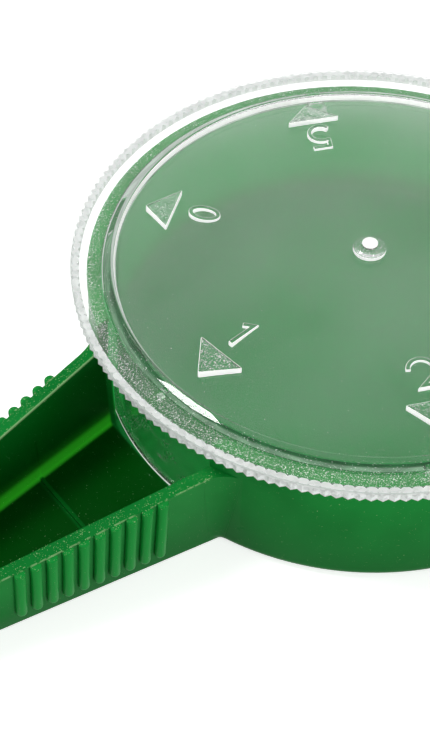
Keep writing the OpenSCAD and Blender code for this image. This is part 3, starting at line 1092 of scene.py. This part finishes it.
@dataclass
class ClearDial:
    """The clear moulding: plate, knurled rim, drum, boss, numerals and pointers. Millimetres."""

    outer_r: float = 32.5
    top: float = 17.6
    flange_t: float = 1.65
    disc_r: float = 27.7
    disc_sunk: float = 0.78
    disc_crown: float = 1.14
    crown_r: float = 16.0
    disc_t: float = 1.1
    boss_r: float = 1.8
    boss_h: float = 0.45
    boss_crown: float = 0.3
    nib_r: float = 0.86
    nib_h: float = 1.05
    zero_at: float = 126.4
    bead_count: int = 180
    bead_r: float = 0.66
    knurl_h: float = 1.1
    knurl_in: float = 0.04
    scallop_out: float = 0.36
    tooth_h: float = 0.30
    bead_gap: float = 0.015
    band_round: float = 0.35
    band_w: float = 0.48
    band_slope: float = 27.0
    band_foot_r: float = 0.8
    lip_t: float = 0.25
    drum_r: float = 29.0
    drum_bottom: float = 2.0
    gate_z: float = 14.4
    gate_lag: float = 4.3
    gates: tuple = (0.9, 1.3, 1.7, 2.2, 2.7)
    gate_pin: float = 6.0
    snap_r: float = 29.22
    snap_h: float = 0.8
    snap_gap: float = 0.04
    snap_smooth_below: float = 30.0
    numeral_r: float = 18.7
    numeral_h: float = 4.1
    numeral_w: float = 2.8
    stroke_w: float = 0.5
    numeral_proud: float = 0.26
    numeral_root: float = 0.75
    numeral_soft: float = 0.05
    pointer_r: float = 22.2
    pointer_tip_r: float = 25.6
    pointer_half_w: float = 3.1
    pointer_top: float = 1.2
    pointer_tip_top: float = 0.66
    pointer_foot: tuple = (0.25, 0.95)
    pointer_corner: float = 0.25
    pointer_soft: float = 0.06
    turn_steps: int = 360
    edge_round: float = 0.08
    smooth_below: float = 28.0

    @cached_property
    def finishes(self) -> list[bpy.types.Material]:
        """Finishes in the order of Zone.

        Returns:
            The materials, which every part of the dial carries.
        """
        # grained_clear: its specks glow as painted glints
        grained = MouldedClear("grained_clear", haze=(0.03, 0.08), speck_from=0.0, speck_to=0.05,
                               speck_share=(0.60, 0.55), speck_clear=0.40, speck_lit=0.25)
        # lit_edge: painted light, a white frost that glows on walls seen from outside, standing in for the white they
        # reflect and pipe
        edge = FrostedClear("lit_edge", tint=(0.97, 0.98, 0.96, 1.0), grain_depth=0.00001, share=0.15, lit=0.40,
                            seen=Seen.OUTSIDE)
        # lined_clear: painted light, a frost that glows where seen from inside the plastic
        lined = FrostedClear("lined_clear", grain_depth=0.00001, share=0.15, lit=0.34, seen=Seen.INSIDE)
        # outline_clear: painted shade, a grey line on the rim's rounded top edge standing in for the dark edge of the
        # glass
        outline = FrostedClear("outline_clear", tint=(0.56, 0.60, 0.57, 1.0), grain_depth=0.00001, share=0.10)
        # toothed_clear and frosted_clear: frost on the knurl, mottled at random, with a painted glow
        toothed = FrostedClear("toothed_clear", mottle=0.74, share=0.25, lit=0.06)
        frosted = FrostedClear(mottle=0.82)
        kinds = (MouldedClear(), frosted, edge, HazyClear(), grained, ScuffedClear(), lined, DeepClear(), outline,
                 toothed)
        return [kind.material() for kind in kinds]

    @property
    def disc_top(self) -> float:
        """Height of the number disc's flat middle."""
        return self.top + self.disc_crown

    @property
    def under(self) -> float:
        """Height of the flange's underside."""
        return self.top - self.flange_t

    def plate(self) -> bpy.types.Object:
        """Spins plate, drum and centre boss as one closed solid.

        Returns:
            The solid, with its finishes.
        """
        soft = self.edge_round
        inner = self.outer_r - 2 * self.bead_r + self.scallop_out + 0.02
        groove = self.top - self.disc_sunk
        nib_top = self.disc_top + self.nib_h
        boss_top = self.disc_top + self.boss_h
        profile = [(0, nib_top)] + arc((self.nib_r - soft, nib_top - soft), soft, 90, 0, 3)
        profile += [(self.nib_r, boss_top + self.boss_crown)]
        profile += shoulder((self.nib_r + 0.05, boss_top + self.boss_crown), (self.boss_r - 0.12, boss_top), 5)
        profile += arc((self.boss_r - 0.12, boss_top - 0.12), 0.12, 70, 0, 3) + [(self.boss_r, self.disc_top)]
        profile += shoulder((self.crown_r, self.disc_top), (self.disc_r - 0.1, groove + 0.02), 16)
        profile += [(self.disc_r, groove + 0.06)]
        slope, turn_r = math.radians(self.band_slope), self.band_foot_r
        profile += arc((self.disc_r + 0.06 + self.band_round, self.top - self.band_round), self.band_round,
                       180, 90 - self.band_slope, 7)
        foot_r, foot_z = profile[-1][0] + self.band_w, profile[-1][1] - self.band_w * math.tan(slope)
        profile += arc((foot_r + turn_r * math.sin(slope), foot_z + turn_r * math.cos(slope)), turn_r,
                       270 - self.band_slope, 270, 4)
        lip = self.top - self.lip_t
        profile += arc((self.outer_r - soft, self.top - soft), soft, 90, 0, 3) + [(self.outer_r, lip)]
        profile += [(inner, lip), (inner, self.under), (self.drum_r + 0.15, self.under)]
        profile += [(self.drum_r, self.under - 0.15)]
        profile += arc((self.drum_r - 0.25, self.drum_bottom + 0.25), 0.25, 0, -90, 3)
        profile += arc((self.disc_r + 0.25, self.drum_bottom + 0.25), 0.25, -90, -180, 3)
        profile += [(self.disc_r, self.under - 0.1)]
        profile += list(reversed(shoulder((self.crown_r, self.disc_top - self.disc_t),
                                          (self.disc_r - 0.1, self.under), 16)))
        profile += [(0, self.disc_top - self.disc_t)]
        bm = spun(profile, self.turn_steps)
        for face in bm.faces:
            face.material_index = self.plate_zone(face).value
        return work(bm, "clear_dial", self.finishes)

    def plate_zone(self, face: bmesh.types.BMFace) -> Zone:
        """Tells which finish a face of the plate has.

        Args:
            face: the face, in millimetres.

        Returns:
            The face's zone.
        """
        centre = face.calc_center_median()
        radius = math.hypot(centre.x, centre.y)
        if face.normal.z < -0.5 and centre.z > self.under - 0.05 and radius < self.disc_r - 0.05:
            return Zone.HAZY
        # painted light: the nib's cap and the boss's wall get the glowing white edge finish
        if radius < self.boss_r and centre.z > self.disc_top:
            nib_cap = centre.z > self.disc_top + self.nib_h - 0.1
            return Zone.EDGE if nib_cap or radius > self.boss_r - 0.02 else Zone.GRAINED
        upright = abs(face.normal.z) < 0.5
        # painted light: the disc's step wall and the drum's foot get the glowing white edge finish
        if upright and centre.z > self.top - self.disc_sunk + 0.05 and self.disc_r - 0.02 < radius < self.disc_r + 0.2:
            return Zone.EDGE
        if centre.z < self.drum_bottom + 0.25 and radius > self.drum_r - 0.25:
            return Zone.EDGE
        # the drum's wall gets finishes with painted green and a painted glow
        if upright and centre.z < self.under and radius < self.drum_r + 0.1:
            return Zone.SCUFFED if radius > self.drum_r - 0.3 else Zone.DEEP
        # painted light: these upright faces get the frost that glows when seen from inside
        if upright and self.drum_r + 1 < radius < self.outer_r - 0.5:
            return Zone.LINED
        # painted shade: the rim's rounded top edge gets the grey outline finish
        if centre.z > self.top - self.lip_t and radius > self.outer_r - self.edge_round:
            return Zone.OUTLINE if abs(face.normal.z) > 0.1 else Zone.TOOTHED
        return Zone.CLEAR

    def knurl(self) -> bpy.types.Object:
        """Builds the ring of round beads from one bead's arcs, turned about the axis.

        Returns:
            The ring, toothed outside and scalloped inside.
        """
        bm = bmesh.new()
        centre = self.outer_r - self.bead_r - self.knurl_in + self.scallop_out
        half_pitch = math.pi / self.bead_count
        inner = math.degrees(math.asin(centre * math.sin(half_pitch) / self.bead_r) - half_pitch)
        base = self.top - self.lip_t - self.knurl_h
        tip, notch = self.outer_r - self.knurl_in, self.outer_r - self.knurl_in - self.tooth_h
        tooth = [((tip + (notch - tip) * abs(i) / 3), half_pitch * i / 3) for i in range(-3, 4)]
        for points in ([(r * math.cos(a), r * math.sin(a)) for r, a in tooth],
                       arc((centre, 0), self.bead_r, 180 + inner, 180 - inner, 6)):
            line = polyline(bm, [(x, y, base) for x, y in points])
            bmesh.ops.spin(bm, geom=line["verts"] + line["edges"], cent=(0, 0, 0), axis=(0, 0, 1),
                           angle=math.tau - 2 * half_pitch, steps=self.bead_count - 1,
                           use_duplicate=True, use_merge=False)
        bmesh.ops.remove_doubles(bm, verts=bm.verts, dist=0.005)
        face = bmesh.ops.bridge_loops(bm, edges=bm.edges[:])["faces"]
        top = bmesh.ops.extrude_face_region(bm, geom=face)["geom"]
        shifted(bm, top, (0, 0, self.knurl_h - self.bead_gap))
        bmesh.ops.recalc_face_normals(bm, faces=bm.faces)
        for made in bm.faces:
            spot = made.calc_center_median()
            outer = abs(made.normal.z) < 0.5 and spot.xy.length > notch
            # the knurl's frost glows a little: painted light
            made.material_index = (Zone.TOOTHED if outer else Zone.FROSTED).value
        return work(bm, "knurl", self.finishes)

    def gate_cutters(self) -> bpy.types.Object:
        """Builds the pins that bore the seed gates.

        Returns:
            The pins, as one object.
        """
        bm = bmesh.new()
        for i, width in enumerate(self.gates, start=1):
            pin = bmesh.ops.create_cone(bm, cap_ends=True, segments=32, radius1=width / 2, radius2=width / 2,
                                        depth=self.gate_pin)["verts"]
            bmesh.ops.rotate(bm, cent=(0, 0, 0), matrix=Matrix.Rotation(math.pi / 2, 3, "Y"), verts=pin)
            bmesh.ops.translate(bm, vec=(self.disc_r + 0.6, 0, self.gate_z), verts=pin)
            self.turned(bm, pin, i, -self.gate_lag)
        return work(bm, "gates", self.finishes)

    def turned(self, bm: bmesh.types.BMesh, verts: list, station: int, extra: float = 0.0) -> None:
        """Turns vertices from +X to a numeral's station round the dial.

        Args:
            bm: the mesh that holds them.
            verts: the vertices.
            station: the numeral.
            extra: degrees beyond its station.
        """
        angle = math.radians(self.zero_at + 360 / STATIONS * station + extra)
        bmesh.ops.rotate(bm, cent=(0, 0, 0), matrix=Matrix.Rotation(angle, 3, "Z"), verts=verts)

    def strokes(self, n: int) -> list[tuple[list, bool]]:
        """Centre lines of a numeral, upright about its own centre.

        Args:
            n: the numeral, 0 to 5.

        Returns:
            Pairs of a line's points and whether it is closed.
        """
        h, w = (self.numeral_h - self.stroke_w) / 2, (self.numeral_w - self.stroke_w) / 2
        bowl, out = h * 0.55, self.stroke_w / 2
        oval = [(w * x, h * y) for x, y in arc((0, 0), 1, 0, 360 - 9, 39)]
        return {
            0: [(oval, True)],
            1: [([(-w - 0.2, h * 0.5), (0, h), (0, -h - out)], False)],
            2: [(arc((0, h - w), w, 175, -35, 14) + [(-w, -h), (w + out, -h)], False)],
            3: [(arc((0, h - bowl + 0.1), bowl - 0.1, 160, -90, 14), False),
                (arc((0, bowl - h), bowl, 90, -160, 14), False)],
            4: [([(w * 0.4, h), (-w, -h * 0.35), (w + out, -h * 0.35)], False),
                ([(w * 0.5, h * 0.3), (w * 0.5, -h - out)], False)],
            5: [([(w + out, h), (-w * 0.7, h), (-w * 0.85, h * 0.12)]
                 + arc((-0.05, -h + bowl), bowl + 0.05, 125, -145, 14), False)],
        }[n]

    def numeral_stroke(self, n: int, points: list, closed: bool) -> bpy.types.Object:
        """Raises one stroke of a numeral, in its place on the disc.

        Args:
            n: the numeral, which also gives its station.
            points: the stroke's centre line.
            closed: whether the line is a loop.

        Returns:
            The stroke's solid.
        """
        bm = bmesh.new()
        low, high = self.disc_top - self.numeral_root, self.disc_top + self.numeral_proud
        line = polyline(bm, [(x, y, low) for x, y in points], closed)
        wall = bmesh.ops.extrude_edge_only(bm, edges=line["edges"])["geom"]
        shifted(bm, wall, (0, 0, high - low))
        bmesh.ops.recalc_face_normals(bm, faces=bm.faces)
        bmesh.ops.solidify(bm, geom=bm.faces[:], thickness=self.stroke_w)
        bmesh.ops.recalc_face_normals(bm, faces=bm.faces)
        top = [e for e in bm.edges if min(v.co.z for v in e.verts) > high - 0.01 and e.is_manifold
               and e.calc_face_angle(0) > 1]
        rounded(bm, top, self.numeral_soft, 2)
        for face in bm.faces:
            # painted light: the numerals' walls get the glowing white edge finish
            face.material_index = Zone.CLEAR.value if face.normal.z > 0.95 else Zone.EDGE.value
        bmesh.ops.rotate(bm, cent=(0, 0, 0), matrix=Matrix.Rotation(math.pi / 2, 3, "Z"), verts=bm.verts)
        bmesh.ops.translate(bm, vec=(self.numeral_r, 0, 0), verts=bm.verts)
        self.turned(bm, bm.verts[:], n)
        return work(bm, "stroke", self.finishes)

    def pointers(self) -> bpy.types.Object:
        """Builds the six wedge-shaped pointers, frosted on top.

        Returns:
            The pointers, as one object.
        """
        bm = bmesh.new()
        for station in range(STATIONS):
            made = self.pointer()
            made.transform(Matrix.Rotation(math.radians(self.zero_at + 360 / STATIONS * station), 4, "Z"))
            mesh = bpy.data.meshes.new("pointer")
            made.to_mesh(mesh)
            made.free()
            bm.from_mesh(mesh)
            bpy.data.meshes.remove(mesh)
        return work(bm, "pointers", self.finishes)

    def pointer(self) -> bmesh.types.BMesh:
        """Builds one pointer, its outer corner towards +X, sunk into the plate.

        Returns:
            The pointer's mesh.
        """
        base_r, tip_r, half_w = self.pointer_r, self.pointer_tip_r, self.pointer_half_w
        bm = extruded([(base_r, -half_w, 0.0), (tip_r, 0, 0.0), (base_r, half_w, 0.0)], (0, 0, 1))
        for vert in bm.verts:
            along = (vert.co.x - base_r) / (tip_r - base_r)
            if vert.co.z > 0.5:
                vert.co.z = self.top + self.pointer_top + (self.pointer_tip_top - self.pointer_top) * along
            else:
                vert.co.z = self.top + self.pointer_foot[0] - self.pointer_foot[1] * along
        uprights = [e for e in bm.edges if abs(e.verts[0].co.z - e.verts[1].co.z) > 0.6
                    and (e.verts[0].co.xy - e.verts[1].co.xy).length < 0.1]
        rounded(bm, uprights, self.pointer_corner, 4)
        top = max(bm.faces, key=lambda f: f.calc_center_median().z)
        rounded(bm, top.edges, self.pointer_soft, 2)
        bm.faces.ensure_lookup_table()
        for face in bm.faces:
            # painted light: the pointers' walls get the glowing white edge finish
            level = face.normal.z > 0.9 and face.calc_area() > 2
            face.material_index = Zone.GRAINED.value if level else Zone.EDGE.value
        return bm

    def snap_bead(self) -> bpy.types.Object:
        """Builds the snap bead round the drum's foot, which lifts with the dial.

        Returns:
            The finished bead.
        """
        inner, outer = self.drum_r + self.snap_gap, self.snap_r
        low, high = self.drum_bottom, self.drum_bottom + self.snap_h
        profile = [(inner, low + 0.05), (outer - 0.06, low + 0.05), (outer, low + 0.25), (outer, high - 0.25),
                   (outer - 0.06, high - 0.05), (inner, high - 0.05)]
        bm = spun(profile, self.turn_steps // 2)
        for face in bm.faces:
            at = face.calc_center_median()
            # painted light: the bead's outer wall gets the glowing white edge finish
            lit = abs(face.normal.z) < 0.1 and math.hypot(at.x, at.y) > outer - 0.04
            face.material_index = (Zone.EDGE if lit else Zone.CLEAR).value
        bead = work(bm, "snap_bead", self.finishes)
        finished(bead, self.snap_smooth_below)
        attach(bead, "lid_lift")
        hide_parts("retaining_ring")
        return bead

    def build(self) -> bpy.types.Object:
        """Joins the dial's forms into one closed piece and dresses it.

        Returns:
            The finished piece.
        """
        dial = self.plate()
        meet(dial, self.knurl(), Join.ADD)
        meet(dial, self.pointers(), Join.ADD)
        for n in range(STATIONS):
            for points, closed in self.strokes(n):
                meet(dial, self.numeral_stroke(n, points, closed), Join.ADD)
        meet(dial, self.gate_cutters(), Join.CUT)
        finished(dial, self.smooth_below)
        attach(dial, "dial")
        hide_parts("dial_plate", "knurled_rim", "gate_drum", "centre_boss", "dial_numerals", "dial_pointers")
        self.snap_bead()
        return dial


# --------------------------------------------------------------------------- studio


@dataclass
class Studio:
    """Pale floor, plain soft light and the camera at the photograph's viewing angle."""

    picture_h: int = 752
    focal_px: float = 1689.5
    azimuth: float = -38.0
    elevation: float = 48.495
    roll: float = 1.075
    distance: float = 184.393
    side_step: float = -16.762
    rise: float = -12.991
    aim_z: float = 17.6
    sensor: float = 36.0
    clip: tuple = (0.01, 20.0)
    floor_size: float = 3.0
    floor_sunk: float = 0.02
    floor_white: float = 0.80
    floor_glow: float = 0.70
    sky_light: float = 0.35
    sky_seen: float = 1.0
    sky_high: float = 0.55
    sky_dims: tuple = (0.64, 0.90)
    lamps: tuple = (("key", (-0.23, 0.20, 0.46), 0.15, 1.3), ("fill", (0.06, -0.57, 0.18), 0.30, 1.2))
    lamp_aim: tuple = (-0.02, 0, 0.01)

    def camera(self) -> None:
        """Places the camera that the photograph's circles and edges give."""
        a, e, r = (math.radians(v) for v in (self.azimuth, self.elevation, self.roll))
        back = Vector((math.sin(a) * math.cos(e), -math.cos(a) * math.cos(e), math.sin(e)))
        right = Vector((math.cos(a), math.sin(a), 0))
        up = back.cross(right)
        right, up = math.cos(r) * right + math.sin(r) * up, math.cos(r) * up - math.sin(r) * right
        place = back * self.distance + right * self.side_step + up * self.rise + Vector((0, 0, self.aim_z))
        camera = bpy.data.objects.new("camera", bpy.data.cameras.new("camera"))
        camera.data.sensor_width = self.sensor
        camera.data.lens = self.focal_px * self.sensor / self.picture_h
        camera.data.clip_start, camera.data.clip_end = self.clip
        camera.matrix_world = Matrix.Translation(place * MM) @ Matrix((right, up, back)).transposed().to_4x4()
        bpy.context.scene.collection.objects.link(camera)
        bpy.context.scene.camera = camera

    def seen_directly(self, recipe_tree: bpy.types.NodeTree) -> bpy.types.NodeSocket:
        """Adds nodes that tell rays that show the background from rays that light the object.

        Args:
            recipe_tree: the node tree that needs them.

        Returns:
            A socket that is 1 for camera, glossy and transmission rays.
        """
        path = recipe_tree.nodes.new("ShaderNodeLightPath")
        total = path.outputs["Is Camera Ray"]
        for label in ("Is Glossy Ray", "Is Transmission Ray"):
            either = recipe_tree.nodes.new("ShaderNodeMath")
            either.operation, either.use_clamp = "MAXIMUM", True
            recipe_tree.links.new(total, either.inputs[0])
            recipe_tree.links.new(path.outputs[label], either.inputs[1])
            total = either.outputs[0]
        return total

    def floor(self) -> None:
        """Lays the floor, which looks white and keeps the object's shadow."""
        bm = bmesh.new()
        bmesh.ops.create_grid(bm, x_segments=1, y_segments=1, size=self.floor_size / 2 / MM)
        bmesh.ops.translate(bm, vec=(0, 0, -self.floor_sunk), verts=bm.verts)
        bmesh.ops.scale(bm, vec=(MM, MM, MM), verts=bm.verts)
        floor = work(bm, "floor")
        recipe = Recipe("floor_white")
        nodes, tree = recipe.tree.nodes, recipe.tree
        recipe.set(base_color=(self.floor_white,) * 3 + (1.0,), roughness=0.9, specular_ior_level=0.0)
        glow = nodes.new("ShaderNodeEmission")
        strength = recipe.ranged(self.seen_directly(tree), 0.0, self.floor_glow)
        tree.links.new(strength, glow.inputs["Strength"])
        both = nodes.new("ShaderNodeAddShader")
        tree.links.new(recipe.shader.outputs[0], both.inputs[0])
        tree.links.new(glow.outputs[0], both.inputs[1])
        tree.links.new(both.outputs[0], nodes["Material Output"].inputs["Surface"])
        floor.data.materials.append(recipe.material)

    def sky(self) -> None:
        """Surrounds the object with an even white, plain in strength where it lights."""
        world = bpy.data.worlds.new("sky")
        world.use_nodes = True
        bpy.context.scene.world = world
        tree = world.node_tree
        ranged = tree.nodes.new("ShaderNodeMapRange")
        ranged.inputs["To Min"].default_value = self.sky_light
        tree.links.new(self.seen_directly(tree), ranged.inputs["Value"])
        height = tree.nodes.new("ShaderNodeSeparateXYZ")
        tree.links.new(tree.nodes.new("ShaderNodeTexCoord").outputs["Generated"], height.inputs[0])
        dimmed = tree.nodes.new("ShaderNodeMapRange")
        dimmed.interpolation_type = "SMOOTHSTEP"
        labels = ("From Min", "From Max", "To Min", "To Max")
        for label, value in zip(labels, (*self.sky_dims, self.sky_seen, self.sky_high)):
            dimmed.inputs[label].default_value = value
        tree.links.new(height.outputs["Z"], dimmed.inputs["Value"])
        tree.links.new(dimmed.outputs["Result"], ranged.inputs["To Max"])
        tree.links.new(ranged.outputs["Result"], tree.nodes["Background"].inputs["Strength"])
        tree.nodes["Background"].inputs["Color"].default_value = (1, 1, 1, 1)

    def lamp(self, name: str, place: tuple, size: float, power: float) -> None:
        """Hangs a soft lamp that points at the object.

        Args:
            name: the lamp's name.
            place: where it hangs, in metres.
            size: the side of its square face, in metres.
            power: its power in watts.
        """
        light = bpy.data.lights.new(name, "AREA")
        light.size, light.energy = size, power
        lamp = bpy.data.objects.new(name, light)
        aim = Vector(self.lamp_aim) - Vector(place)
        lamp.matrix_world = Matrix.Translation(place) @ aim.to_track_quat("-Z", "Y").to_matrix().to_4x4()
        bpy.context.scene.collection.objects.link(lamp)

    def build(self) -> None:
        """Sets up camera, floor, sky and lamps."""
        self.camera()
        self.floor()
        self.sky()
        for settings in self.lamps:
            self.lamp(*settings)
        bpy.context.scene.view_settings.view_transform = "Standard"


def main() -> None:
    """Builds the studio, the green moulding and the clear dial."""
    Studio().build()
    SowerBody().build()
    ClearDial().build()


if __name__ == "__main__":
    logging.basicConfig(level=logging.INFO, format="%(name)s: %(message)s")
    main()
